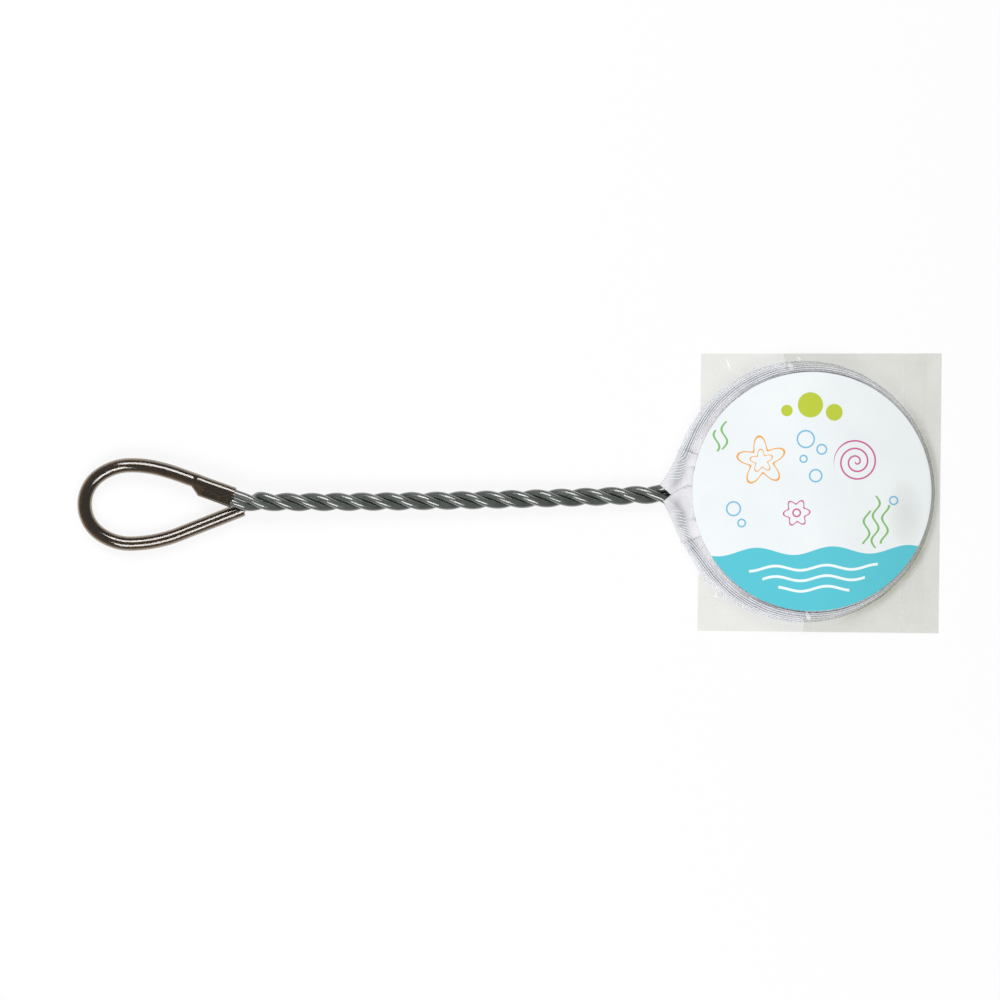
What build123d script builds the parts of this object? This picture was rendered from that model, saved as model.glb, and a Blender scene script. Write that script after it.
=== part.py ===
"""Aquarium fish net, lying flat in its shop packing.

One length of coated wire makes the hoop, the three-strand twisted handle and the hanging loop.
The model is in millimetres, with +Z up, the handle along X and the hoop at +X.
The origin is the middle of the whole part at the height of the table.
"""

import os
from math import atan, cos, dist, pi, radians, sin, sqrt, tan

from build123d import *

os.makedirs("parts", exist_ok=True)

# Wire
WIRE_D = 3.2  # over the plastic coating
CORE_D = 1.8  # bare steel
CORE_CLEARANCE = 0.1
STRAND_GAP = 0.12  # between neighbouring strands of the twist

# Hoop and hem
NET_WIDTH = 100.0  # over the hem
HEM_WALL = 0.55  # the layers of netting round the wire
HEM_CLEARANCE = 0.15
HEM_TAIL = 3.0  # flat sewn edge inside the hoop
HEM_TAIL_THICKNESS = 0.9
NECK_ANGLE = 12.0  # half of the hoop's opening at the handle
HOOP_ARCS = 12

# Handle
NECK_REACH = 56.0  # hoop centre to the end of the twist
TWIST_LENGTH = 157.2
TWIST_TURNS = 5 + 190 / 360
START_ANGLE = -83.0  # where the lower loop strand lies at the start of the twist
HANDLE_BOW = 0.9
CUT_END = 5.4  # the wire's cut end reaches this far past the twist, between the neck bends

# Hanging loop, along the wire's centre line
LOOP_LENGTH = 61.1
LOOP_WIDTH = 29.6
LOOP_SHOULDER = 17.2  # from the loop's end to its widest place
CROSSING = 5.2  # the two sides would meet this far inside the twist
SIDE_STEEPNESS = 1.22  # slope of the straight sides against that of a plain triangle
INNER_WIRE_LENGTH = 15.6  # from the start of the twist to the cut end beside the upper side
LOWER_SIDE_DROP = 0.3  # how far the lower side passes under the handle, in wire diameters
UPPER_SIDE_LIFT = 0.48  # how far the upper side comes in over the handle, in wire diameters

# Where the three strands part for the loop, as shares of the twist
INNER_LEAVES = 0.019
UPPER_LEAVES = 0.045
LOWER_LEAVES = 0.076

# The same places beside the twist, in strand widths from its start
INNER_RUN_END = -1.15
UPPER_RUN_END = -0.165
UNDER_PASS = (1.51, 0.628, -0.422)  # the lower strand dives under the other two here
UNDER_PASS_WAY = (-1, -0.317, -1.36)

# Grip sleeve
SLEEVE_D = 5.6
SLEEVE_WALL = 0.6
SLEEVE_SEAT = 0.35  # the wire lies off centre in the bore by this much
SLEEVE_SAG = 0.25
LOWER_MOUTH = 1.0  # sleeve end before the start of the twist, lower side
UPPER_MOUTH = 4.2
STEP_LENGTH = 2.8  # where the sleeve widens over the second wire
STEP_MARGIN = 0.8

# Pouch, folded flat under the hoop
POUCH_CLOTH = 0.5
POUCH_GAP = 0.3
PLEAT_HEIGHT = 1.3
PLEAT_PITCH = 13.0
SEAM_D = 0.8
STITCH_COUNT = 80
STITCH_LENGTH = 2.4
STITCH_WIDTH = 0.4
STITCH_INSET = 1.2  # stitch line to the round part of the hem
STITCH_END_ANGLE = 2.0

# Packing
CARD_D = 91.0
CARD_THICKNESS = 0.35
CARD_SHIFT = 2.9
CARD_LIFT = 0.6  # so that the card slides out over the handle
FILM = 0.1
BAG_WIDTH = 106.4
BAG_LEFT = 39.5  # hoop centre to the bag's open end
BAG_RIGHT = 52.3
BAG_MOUTH = 5.0  # hoop centre to the edge of the shorter front film
BAG_SKEW = 1.7
BAG_MARGIN = 1.4  # flat welded edge
FILM_BEND = 0.85  # how tightly the film goes round the hem, in hem radii
FLAP_WIDTH = 14.0
ADHESIVE_WIDTH = 8.0
ADHESIVE_THICKNESS = 0.1
ADHESIVE_INSET = 1.0  # from the flap's edge
ADHESIVE_END = 3.0  # from each side of the bag
LAYER_GAP = 0.3
OVERCUT = 1.0

# Worked out sizes
lay = WIRE_D + STRAND_GAP
slant = TWIST_TURNS * 2 * pi / TWIST_LENGTH * lay / sqrt(3)
strand_radius = lay / sqrt(3) * sqrt(1 + slant**2 / 3)
hem_radius = WIRE_D / 2 + HEM_CLEARANCE + HEM_WALL
hoop_radius = NET_WIDTH / 2 - hem_radius
tail_inner = hoop_radius - hem_radius - HEM_TAIL

neck_x = -NECK_REACH
start_x = neck_x - TWIST_LENGTH
far_x = start_x - LOOP_LENGTH
wide_x = far_x + LOOP_SHOULDER
cross_x = start_x + CROSSING
half_loop = LOOP_WIDTH / 2
side_run = cross_x - wide_x
side_angle = SIDE_STEEPNESS * atan(half_loop / side_run)
side_radius = (side_run * tan(side_angle) - half_loop) / (
    tan(side_angle) * sin(side_angle) - (1 - cos(side_angle))
)
side_end_x = wide_x + side_radius * sin(side_angle)
side_end_y = half_loop - side_radius * (1 - cos(side_angle))

# Heights
lower_drop = SLEEVE_D / 2 + LOWER_SIDE_DROP * WIRE_D
start_z = lower_drop + SLEEVE_SAG + SLEEVE_D / 2
neck_z = strand_radius + WIRE_D / 2 + LAYER_GAP
back_z = 2 * FILM + ADHESIVE_THICKNESS
pouch_z = back_z + LAYER_GAP
hoop_z = pouch_z + POUCH_CLOTH + PLEAT_HEIGHT + LAYER_GAP + hem_radius
card_z = max(hoop_z + hem_radius, neck_z + strand_radius + WIRE_D / 2) + CARD_LIFT
film_z = card_z + CARD_THICKNESS + LAYER_GAP
low_z = start_z - lower_drop
high_z = start_z + UPPER_SIDE_LIFT * WIRE_D
rise = (high_z - low_z) / (start_x - far_x)

skew = radians(BAG_SKEW)
bag_reach = BAG_RIGHT * cos(skew) + BAG_WIDTH / 2 * sin(skew)
loop_reach = -far_x + SLEEVE_SEAT + SLEEVE_D / 2
hoop_x = (loop_reach - bag_reach) / 2


def at(x, y, z):
    """A point measured from the hoop's centre line."""
    return Vector(x + hoop_x, y, z)


def strand(phase, share):
    """Place and direction on one strand of the twist, from loop (0) to hoop (1)."""
    angle = radians(START_ANGLE + phase) + share * TWIST_TURNS * 2 * pi
    turn = TWIST_TURNS * 2 * pi
    lift = start_z - neck_z
    place = at(
        start_x + share * TWIST_LENGTH,
        -4 * HANDLE_BOW * share * (1 - share) + strand_radius * cos(angle),
        neck_z + lift * (1 - share) ** 2 + strand_radius * sin(angle),
    )
    heading = Vector(
        TWIST_LENGTH,
        -4 * HANDLE_BOW * (1 - 2 * share) - strand_radius * sin(angle) * turn,
        -2 * lift * (1 - share) + strand_radius * cos(angle) * turn,
    )
    return place, heading.normalized()


def strand_run(phase, first, last):
    """Quarter turn stations along one strand."""
    count = max(2, round(abs(last - first) * TWIST_TURNS * 4))
    stations = [strand(phase, first + (last - first) * i / count) for i in range(count + 1)]
    if last < first:
        stations = [(place, heading * -1) for place, heading in stations]
    return stations


def side(upper, x, inset=0.0, drop=0.0):
    """A point on a straight side of the loop, moved inwards and down."""
    sign = 1 if upper else -1
    height = low_z + rise * (x - far_x) if upper else low_z
    return at(x, sign * ((cross_x - x) * tan(side_angle) - inset / cos(side_angle)), height - drop)


def trace(stations):
    """Draw arcs that pass through every station in its direction."""
    for (p1, t1), (p2, t2) in zip(stations, stations[1:]):
        chord = p2 - p1
        bend = 1 - t1.dot(t2)
        if bend < 1e-9 and chord.normalized().dot(t1) > 1 - 1e-9:
            Line(p1, p2)
            continue
        along = chord.dot(t1 + t2)
        if bend < 1e-9:
            reach = chord.dot(chord) / (2 * along)
        else:
            reach = (sqrt(along**2 + 2 * bend * chord.dot(chord)) - along) / (2 * bend)
        middle = (p1 + p2 + (t1 - t2) * reach) * 0.5
        passing = ((p2 - t2 * reach) - (p1 + t1 * reach)).normalized()
        TangentArc(p1, middle, tangent=t1)
        TangentArc(middle, p2, tangent=passing)


# The wire's route, from the cut end beside the loop to the cut end at the neck
upper_way = Vector(cos(side_angle), -sin(side_angle), rise * cos(side_angle)).normalized()
lower_way = Vector(-cos(side_angle), -sin(side_angle), 0)
LOWER, UPPER, INNER = 0, 120, 240  # phases of the three strands

inner_end = [
    (side(True, start_x - INNER_WIRE_LENGTH, lay), upper_way),
    (side(True, start_x + INNER_RUN_END * lay, lay), upper_way),
]
inner_strand = strand_run(INNER, INNER_LEAVES, 1)
neck = radians(NECK_ANGLE)
hoop = []
for i in range(HOOP_ARCS + 1):
    angle = neck + (2 * pi - 2 * neck) * i / HOOP_ARCS
    place = at(-hoop_radius * cos(angle), hoop_radius * sin(angle), hoop_z)
    hoop.append((place, Vector(sin(angle), cos(angle), 0)))
lower_strand = strand_run(LOWER, 1, LOWER_LEAVES)
dive = Vector(*UNDER_PASS) * lay
under_pass = [(at(start_x, 0, start_z) + dive, Vector(*UNDER_PASS_WAY).normalized())]
loop = [
    (side(False, start_x - LOWER_MOUTH), lower_way),
    (at(side_end_x, -side_end_y, low_z), lower_way),
    (at(wide_x, -half_loop, low_z), Vector(-1, 0, 0)),
    (at(far_x, 0, low_z), Vector(0, 1, 0)),
    (at(wide_x, half_loop, low_z + rise * LOOP_SHOULDER), Vector(1, 0, rise).normalized()),
    (at(side_end_x, side_end_y, low_z + rise * (side_end_x - far_x)), upper_way),
    (side(True, start_x + UPPER_RUN_END * lay), upper_way),
]
upper_strand = strand_run(UPPER, UPPER_LEAVES, 1 + CUT_END / TWIST_LENGTH)
stations = inner_end + inner_strand + hoop + lower_strand + under_pass + loop + upper_strand

# Steel core
with BuildPart() as wire_core:
    with BuildLine() as wire_route:
        trace(stations)
    with BuildSketch(Plane(origin=stations[0][0], z_dir=stations[0][1])):
        Circle(CORE_D / 2)
    sweep(path=wire_route.wires()[0])
wire_core.part.label = "wire_core"

# Least gap between strands, measured on points of the route that are not neighbours on it
route = wire_route.wires()[0]
samples = 1500
points = [tuple(route @ (i / samples)) for i in range(samples + 1)]
apart = round(samples * 4 * WIRE_D / route.length)
least = min(dist(a, b) for i, a in enumerate(points) for b in points[i + apart :])
print(f"wire length {route.length:.0f} mm, least gap between strands {least - WIRE_D:.2f} mm")

export_step(wire_core.part, "parts/wire_core.step")

# Plastic coating
with BuildPart() as wire_coating:
    with BuildSketch(Plane(origin=stations[0][0], z_dir=stations[0][1])):
        Circle(WIRE_D / 2)
        Circle(CORE_D / 2 + CORE_CLEARANCE, mode=Mode.SUBTRACT)
    sweep(path=wire_route.wires()[0])
wire_coating.part.label = "wire_coating"
export_step(wire_coating.part, "parts/wire_coating.step")

# Grip sleeve: a round tube on the loop that widens over the second wire
step_x = start_x - INNER_WIRE_LENGTH - STEP_MARGIN
sleeve_bore = SLEEVE_D - 2 * SLEEVE_WALL
pair_bore = WIRE_D + 2 * STRAND_GAP
across_upper = Vector(sin(side_angle), cos(side_angle), 0)
round_end = side(True, step_x - STEP_LENGTH, SLEEVE_SEAT)
wide_start = side(True, step_x, lay / 2)
wide_length = (start_x - UPPER_MOUTH - step_x) / upper_way.X
round_plane = Plane(origin=round_end, x_dir=across_upper, z_dir=upper_way)
wide_plane = Plane(origin=wide_start, x_dir=across_upper, z_dir=upper_way)
upper_bend = at(side_end_x, side_end_y, low_z + rise * (side_end_x - far_x)) - across_upper * SLEEVE_SEAT
lower_bend = at(side_end_x, -side_end_y, low_z - SLEEVE_SAG)
lower_bend += Vector(sin(side_angle), -cos(side_angle), 0) * SLEEVE_SEAT
sleeve_stations = [
    (side(False, start_x - LOWER_MOUTH, -SLEEVE_SEAT, SLEEVE_SAG), lower_way),
    (lower_bend, lower_way),
    (at(wide_x, -half_loop - SLEEVE_SEAT, low_z - SLEEVE_SAG), Vector(-1, 0, 0)),
    (at(far_x - SLEEVE_SEAT, 0, low_z), Vector(0, 1, 0)),
    (at(wide_x, half_loop, low_z + rise * LOOP_SHOULDER), Vector(1, 0, rise).normalized()),
    (upper_bend, upper_way),
    (round_end, upper_way),
]

with BuildPart() as grip_sleeve:
    with BuildLine() as sleeve_route:
        trace(sleeve_stations)
    for round_d, pair_d, mode in (
        (SLEEVE_D, pair_bore + 2 * SLEEVE_WALL, Mode.ADD),
        (sleeve_bore, pair_bore, Mode.SUBTRACT),
    ):
        with BuildSketch(Plane(origin=sleeve_stations[0][0], z_dir=sleeve_stations[0][1])) as tube:
            Circle(round_d / 2)
        sweep(tube.sketch, path=sleeve_route.wires()[0], mode=mode)
        with BuildSketch(round_plane) as narrow:
            Circle(round_d / 2)
        with BuildSketch(wide_plane) as broad:
            SlotCenterToCenter(lay, pair_d)
        loft([narrow.sketch, broad.sketch], mode=mode)
        extrude(broad.sketch, amount=wide_length, mode=mode)
grip_sleeve.part.label = "grip_sleeve"
export_step(grip_sleeve.part, "parts/grip_sleeve.step")

# Hem casing: netting round the wire with a flat sewn edge, and a short collar on each neck bend
hoop_axis = Axis(at(0, 0, 0), Vector(0, 0, -1))
hem_start = Plane(at(0, 0, 0), x_dir=(-cos(neck), sin(neck), 0), z_dir=(sin(neck), cos(neck), 0))
hem_bore = WIRE_D / 2 + HEM_CLEARANCE

with BuildPart() as hem_casing:
    with BuildSketch(hem_start):
        with Locations((hoop_radius, hoop_z)):
            Circle(hem_radius)
        with Locations(((tail_inner + hoop_radius) / 2, hoop_z)):
            Rectangle(hoop_radius - tail_inner, HEM_TAIL_THICKNESS)
        with Locations((hoop_radius, hoop_z)):
            Circle(hem_bore, mode=Mode.SUBTRACT)
    revolve(axis=hoop_axis, revolution_arc=360 - 2 * NECK_ANGLE)
    for bend in ([inner_strand[-1], hoop[0]], [hoop[-1], lower_strand[0]]):
        with BuildLine() as neck_bend:
            trace(bend)
        collar = neck_bend.edges()[1] if bend[1] is hoop[0] else neck_bend.edges()[0]
        with BuildSketch(Plane(origin=collar @ 0, z_dir=collar % 0)) as ring:
            Circle(hem_radius)
            Circle(hem_bore, mode=Mode.SUBTRACT)
        sweep(ring.sketch, path=collar)
hem_casing.part.label = "hem_casing"
export_step(hem_casing.part, "parts/hem_casing.step")

# Hem stitching: one stitch after another along the flat edge
stitch_radius = tail_inner + HEM_TAIL - STITCH_INSET
stitch_z = hoop_z + HEM_TAIL_THICKNESS / 2 + STITCH_WIDTH / 2
stitch_start = -180 + NECK_ANGLE + STITCH_END_ANGLE

with BuildPart() as hem_stitching:
    with Locations(at(0, 0, stitch_z)):
        with PolarLocations(stitch_radius, STITCH_COUNT, stitch_start, -2 * stitch_start):
            Box(STITCH_WIDTH, STITCH_LENGTH, STITCH_WIDTH)
hem_stitching.part.label = "hem_stitching"
export_step(hem_stitching.part, "parts/hem_stitching.step")

# Pouch: two halves folded flat in pleats that run along the handle, joined by a seam
wall_outer = tail_inner - POUCH_GAP
wall_inner = wall_outer - POUCH_CLOTH
seam_half = SEAM_D / 2 + POUCH_GAP


def pouch_panel(sign):
    """One half of the pouch: the wall under the hem and the pleated bottom."""
    pleats = round((wall_outer - seam_half) / PLEAT_PITCH * 2)
    steps = [seam_half + (wall_outer - seam_half) * i / pleats for i in range(pleats + 1)]
    crest = [pouch_z + (PLEAT_HEIGHT if i % 2 else 0) for i in range(pleats + 1)]
    with BuildSketch(Plane(at(-wall_outer, 0, 0), x_dir=(0, 1, 0), z_dir=(1, 0, 0))) as folds:
        with BuildLine():
            lower_edge = [(sign * y, z) for y, z in zip(steps, crest)]
            upper_edge = [(y, z + POUCH_CLOTH) for y, z in lower_edge]
            Polyline(lower_edge + upper_edge[::-1], close=True)
        make_face()
    extrude(folds.sketch, amount=2 * wall_outer)
    with BuildSketch(Plane(at(0, 0, 0))) as outline:
        Circle((wall_outer + wall_inner) / 2)
    extrude(outline.sketch, amount=hoop_z, mode=Mode.INTERSECT)
    with BuildSketch(Plane(at(0, 0, pouch_z))) as wall:
        Circle(wall_outer)
        Circle(wall_inner, mode=Mode.SUBTRACT)
        with Locations((0, sign * (seam_half + wall_outer))):
            Rectangle(3 * wall_outer, 2 * wall_outer, mode=Mode.INTERSECT)
    extrude(wall.sketch, amount=hoop_z - pouch_z)


with BuildPart() as pouch_panel_upper:
    pouch_panel(1)
pouch_panel_upper.part.label = "pouch_panel_upper"
export_step(pouch_panel_upper.part, "parts/pouch_panel_upper.step")

with BuildPart() as pouch_panel_lower:
    pouch_panel(-1)
pouch_panel_lower.part.label = "pouch_panel_lower"
export_step(pouch_panel_lower.part, "parts/pouch_panel_lower.step")

with BuildPart() as pouch_seam:
    with BuildSketch(Plane(at(-wall_inner, 0, 0), x_dir=(0, 1, 0), z_dir=(1, 0, 0))):
        with Locations((0, pouch_z + SEAM_D / 2)):
            Circle(SEAM_D / 2)
    extrude(amount=2 * wall_inner)
pouch_seam.part.label = "pouch_seam"
export_step(pouch_seam.part, "parts/pouch_seam.step")

# Insert card
with BuildPart() as insert_card:
    with BuildSketch(Plane(at(CARD_SHIFT, 0, card_z))):
        Circle(CARD_D / 2)
    extrude(amount=CARD_THICKNESS)
insert_card.part.label = "insert_card"
export_step(insert_card.part, "parts/insert_card.step")

# Polybag: a flat back film, a shorter front film drawn over the hoop, and a flap folded behind
bag_x = Vector(cos(skew), -sin(skew), 0)
bag_y = Vector(sin(skew), cos(skew), 0)
bag_plane = Plane(at(0, 0, 0), x_dir=bag_x, z_dir=(0, 0, 1))
foot_half = BAG_WIDTH / 2 - BAG_MARGIN
top_half = NET_WIDTH / 2 + LAYER_GAP
end_foot = BAG_RIGHT - 2 * FILM
end_top = NET_WIDTH / 2 + LAYER_GAP
film_round = hem_radius * FILM_BEND


def tent(skin, mouth):
    """The room under the front film, or that room with the film on it."""
    across = Plane(at(0, 0, 0) + bag_x * mouth, x_dir=bag_y, z_dir=bag_x)
    with BuildSketch(across) as end_view:
        with BuildLine():
            Polyline(
                (-foot_half - skin, back_z),
                (foot_half + skin, back_z),
                (top_half + skin, film_z + skin),
                (-top_half - skin, film_z + skin),
                close=True,
            )
        make_face()
        fillet(end_view.vertices().group_by(Axis.Y)[-1], film_round + skin)
    extrude(end_view.sketch, amount=BAG_RIGHT - mouth)
    along = Plane(at(0, 0, 0) - bag_y * BAG_WIDTH, x_dir=bag_x, z_dir=-bag_y)
    with BuildSketch(along) as side_view:
        with BuildLine():
            Polyline(
                (-BAG_WIDTH, back_z),
                (end_foot + skin, back_z),
                (end_top + skin, film_z + skin),
                (-BAG_WIDTH, film_z + skin),
                close=True,
            )
        make_face()
        fillet(side_view.vertices().group_by(Axis.Y)[-1].sort_by(Axis.X)[-1], film_round + skin)
    extrude(side_view.sketch, amount=-2 * BAG_WIDTH, mode=Mode.INTERSECT)


with BuildPart() as bag_room:
    tent(0, -BAG_MOUTH - OVERCUT)

with BuildPart() as polybag:
    tent(FILM, -BAG_MOUTH)
    add(bag_room.part, mode=Mode.SUBTRACT)
    with BuildSketch(bag_plane.offset(back_z - FILM)):
        with Locations(((BAG_RIGHT - BAG_LEFT) / 2, 0)):
            Rectangle(BAG_RIGHT + BAG_LEFT, BAG_WIDTH)
    extrude(amount=FILM)
    with BuildSketch(bag_plane.offset(back_z)):
        with Locations(((BAG_RIGHT - BAG_MOUTH) / 2, 0)):
            Rectangle(BAG_RIGHT + BAG_MOUTH, BAG_WIDTH)
            Rectangle(BAG_RIGHT * 4, 2 * foot_half, mode=Mode.SUBTRACT)
    extrude(amount=FILM)
    with BuildSketch(bag_plane):
        with Locations((BAG_RIGHT - FLAP_WIDTH / 2, 0)):
            Rectangle(FLAP_WIDTH, BAG_WIDTH)
    extrude(amount=FILM)
    with BuildSketch(bag_plane):
        with Locations((BAG_RIGHT - FILM / 2, 0)):
            Rectangle(FILM, BAG_WIDTH)
    extrude(amount=back_z)
polybag.part.label = "polybag"
export_step(polybag.part, "parts/polybag.step")

# Adhesive strip between the flap and the back film
with BuildPart() as adhesive_strip:
    with BuildSketch(bag_plane.offset(FILM)):
        with Locations((BAG_RIGHT - FLAP_WIDTH + ADHESIVE_INSET + ADHESIVE_WIDTH / 2, 0)):
            Rectangle(ADHESIVE_WIDTH, BAG_WIDTH - 2 * ADHESIVE_END)
    extrude(amount=ADHESIVE_THICKNESS)
adhesive_strip.part.label = "adhesive_strip"
export_step(adhesive_strip.part, "parts/adhesive_strip.step")
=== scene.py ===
# %% [markdown]
# # An aquarium fish net in its shop packing
# The object is a small hand net: one bent wire makes hoop, twisted handle and hanging loop, a fine white
# netting is sewn round the hoop, and a clear bag with a round card covers half of it.
# The measured solids come in as the frame. Rigid pieces of the frame stay and get finishes, while cloth,
# thread and film are made here, because their looks come from folds and yarns that the solids leave out.

# %% Frame and units
import math

import bpy
import numpy as np
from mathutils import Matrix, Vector, noise
from mathutils.bvhtree import BVHTree


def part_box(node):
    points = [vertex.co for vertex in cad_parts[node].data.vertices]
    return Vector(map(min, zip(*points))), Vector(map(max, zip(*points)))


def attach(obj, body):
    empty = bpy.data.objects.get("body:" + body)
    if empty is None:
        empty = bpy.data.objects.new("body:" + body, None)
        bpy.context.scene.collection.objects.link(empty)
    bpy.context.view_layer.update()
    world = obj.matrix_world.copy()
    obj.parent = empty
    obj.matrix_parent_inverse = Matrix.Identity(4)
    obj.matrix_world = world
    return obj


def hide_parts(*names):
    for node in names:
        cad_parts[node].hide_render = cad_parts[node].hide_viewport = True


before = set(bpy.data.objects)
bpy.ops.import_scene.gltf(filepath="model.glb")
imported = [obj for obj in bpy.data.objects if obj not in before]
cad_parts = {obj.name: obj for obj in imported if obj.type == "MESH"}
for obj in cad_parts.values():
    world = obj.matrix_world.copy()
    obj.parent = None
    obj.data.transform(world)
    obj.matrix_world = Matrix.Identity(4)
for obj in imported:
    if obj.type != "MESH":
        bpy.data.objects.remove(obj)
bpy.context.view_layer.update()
MM = 0.001
HOOP_RADIUS = 47.7  # to the middle of the wire
HOOP_HEIGHT = 5.0
HEM_REACH = 50.0  # to the outside of the hem
hoop_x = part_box("hem_casing")[1][0] / MM - HEM_REACH


def put(name, data):
    """Put a mesh, a lamp or a camera into the scene under its name."""
    made = bpy.data.objects.new(name, data)
    bpy.context.scene.collection.objects.link(made)
    return made


# %% [markdown]
# ## Camera
# The photograph looks straight down from far away, with the handle turned by about one degree.
# A long lens at about 1.28 m gives the same small perspective and the same scale as measured on the hoop.

# %% Camera
camera_data = bpy.data.cameras.new("camera")
camera_data.lens = 120
camera_data.sensor_width = 36
camera = put("camera", camera_data)
camera.location = (-0.0041, -0.00105, 1.277)
camera.rotation_euler = (0, 0, math.radians(-1.05))
bpy.context.scene.camera = camera
bpy.context.scene.view_settings.view_transform = "Standard"
print("camera looks down from", camera.location.z, "m")

# %% [markdown]
# ## Node helpers
# Every material and node tree below is wired by script. A few small helpers keep that readable: they fill a
# node's inputs, add a node, add a Math node and hand back its result, and open a new group or material.


# %% Node helpers
def fill(tree, made, inputs):
    """Fill a node's inputs with plain values, or link them where a socket is given."""
    for key, value in inputs.items():
        if isinstance(value, bpy.types.NodeSocket):
            tree.links.new(value, made.inputs[key])
        else:
            made.inputs[key].default_value = value


def node(tree, kind, inputs=None, **settings):
    """Add a node, set its options and fill its inputs."""
    made = tree.nodes.new(kind)
    for key, value in settings.items():
        setattr(made, key, value)
    fill(tree, made, inputs or {})
    return made


def calc(tree, operation, *values, clamp=False):
    """One Math node, as its result socket."""
    made = node(tree, "ShaderNodeMath", dict(enumerate(values)), operation=operation, use_clamp=clamp)
    return made.outputs[0]


def new_group(name, kind, inputs, outputs):
    """An empty node group with sockets of a name and a type, and its inputs."""
    made = bpy.data.node_groups.new(name, kind)
    for way, sockets in (("INPUT", inputs), ("OUTPUT", outputs)):
        for socket, data in sockets:
            made.interface.new_socket(socket, in_out=way, socket_type="NodeSocket" + data)
    return made, node(made, "NodeGroupInput").outputs


def new_material(name):
    """An empty material with its shader and output ready."""
    made = bpy.data.materials.new(name)
    made.use_nodes = True
    return made, made.node_tree, made.node_tree.nodes["Principled BSDF"]


def tint(red, green, blue):
    """A colour as read off a screen, made linear for the shader."""
    shares = [c / 255 for c in (red, green, blue)]
    linear = [((c + 0.055) / 1.055) ** 2.4 if c > 0.04 else c / 12.92 for c in shares]
    return (*linear, 1.0)


print("node helpers ready")

# %% [markdown]
# ## Studio
# A plain white table, an even pale surround, and two long soft boxes beside the handle. The boxes draw the
# long highlights on the loop's sleeve. The table shows white to the camera and still takes a soft shadow.

# %% Table
TABLE_HALF, TABLE_LEVEL, TABLE_GLOW = 2, -0.0002, 0.86
floor_mesh = bpy.data.meshes.new("table_top")
quarters = ((-1, -1), (1, -1), (1, 1), (-1, 1))
floor_corners = [(x * TABLE_HALF, y * TABLE_HALF, TABLE_LEVEL) for x, y in quarters]
floor_mesh.from_pydata(floor_corners, [], [(0, 1, 2, 3)])
floor = put("table_top", floor_mesh)
table_white, tree, shader = new_material("table_white")
fill(tree, shader, {"Base Color": (0.9, 0.9, 0.9, 1), "Roughness": 0.9, "Specular IOR Level": 0.1})
path = node(tree, "ShaderNodeLightPath").outputs
seen = calc(tree, "ADD", path["Is Camera Ray"], path["Is Transmission Ray"])
seen = calc(tree, "ADD", seen, path["Is Glossy Ray"], clamp=True)
glow = node(tree, "ShaderNodeEmission", {"Color": (1, 1, 1, 1), "Strength": 1.0})
share = calc(tree, "MULTIPLY", seen, TABLE_GLOW)
mixed = node(tree, "ShaderNodeMixShader", {0: share, 1: shader.outputs[0], 2: glow.outputs[0]})
fill(tree, tree.nodes["Material Output"], {"Surface": mixed.outputs[0]})
floor_mesh.materials.append(table_white)
print("table", 2 * TABLE_HALF, "m wide")

# %% Surround and soft boxes
SURROUND_STRENGTH = 0.2
BOX_LONG, BOX_WIDE, BOX_POWER = 0.66, 0.46, 6.8
BOX_SIDE, BOX_HEIGHT, BOX_AIM = 0.62, 0.85, Vector((-0.02, 0, 0))
surround = bpy.data.worlds.new("surround")
surround.use_nodes = True
sky = surround.node_tree.nodes["Background"]
fill(surround.node_tree, sky, {"Color": (1, 1, 1, 1), "Strength": SURROUND_STRENGTH})
bpy.context.scene.world = surround
for side, place_x in ((1, -0.2), (-1, -0.1)):
    box_data = bpy.data.lights.new("soft_box", "AREA")
    box_data.shape = "RECTANGLE"
    box_data.size, box_data.size_y, box_data.energy = BOX_LONG, BOX_WIDE, BOX_POWER
    box = put("soft_box", box_data)
    box.location = (place_x, side * BOX_SIDE, BOX_HEIGHT)
    box.rotation_euler = (BOX_AIM - box.location).to_track_quat("-Z", "Y").to_euler()
print("studio ready")

# %% [markdown]
# ## Plastic finishes of the wire
# The wire wears a dark green-grey plastic coat that is glossy but not quite even: the extruder leaves faint
# streaks and handling leaves a matt bloom. One shared node group gives such unevenness to several finishes,
# each with its own scale. The loop's sleeve is a smoke-brown clear tube, so it lets the dark wire show.


# %% Unevenness group
CLOUD_SHARE, GRAIN_SHARE = 0.7, 0.3


def unevenness_group():
    """Object-space cloudiness, as a mask and as a height for bump."""
    made, given = new_group(
        "unevenness",
        "ShaderNodeTree",
        [("Cloud Scale", "Float"), ("Grain Scale", "Float")],
        [("Mask", "Float"), ("Height", "Float")],
    )
    spot = node(made, "ShaderNodeTexCoord").outputs["Object"]
    cloud, grain = [
        node(made, "ShaderNodeTexNoise", {"Vector": spot, "Scale": given[scale], "Detail": detail}).outputs[0]
        for scale, detail in (("Cloud Scale", 3.0), ("Grain Scale", 2.0))
    ]
    cloud_part = calc(made, "MULTIPLY", cloud, CLOUD_SHARE)
    both = calc(made, "ADD", cloud_part, calc(made, "MULTIPLY", grain, GRAIN_SHARE))
    node(made, "NodeGroupOutput", {"Mask": both, "Height": grain})
    return made


unevenness = unevenness_group()


def uneven(tree, cloud_scale, grain_scale):
    """Place the shared group in a material with its own scales, and hand back its outputs."""
    scales = {"Cloud Scale": cloud_scale, "Grain Scale": grain_scale}
    return node(tree, "ShaderNodeGroup", scales, node_tree=unevenness).outputs


print("unevenness group with", len(unevenness.nodes), "nodes")


# %% Colour and bump helpers
def blend_colour(tree, factor, first, second):
    """Mix two colours by a factor."""
    made = node(tree, "ShaderNodeMix", {"Factor": factor}, data_type="RGBA")
    fill(tree, made, {6: first, 7: second})
    return made.outputs[2]


def stretch(tree, value, low, high, out_low, out_high):
    """Map a value from one range to another and clamp it."""
    made = node(tree, "ShaderNodeMapRange", {0: value, 1: low, 2: high, 3: out_low, 4: out_high})
    return made.outputs[0]


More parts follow.
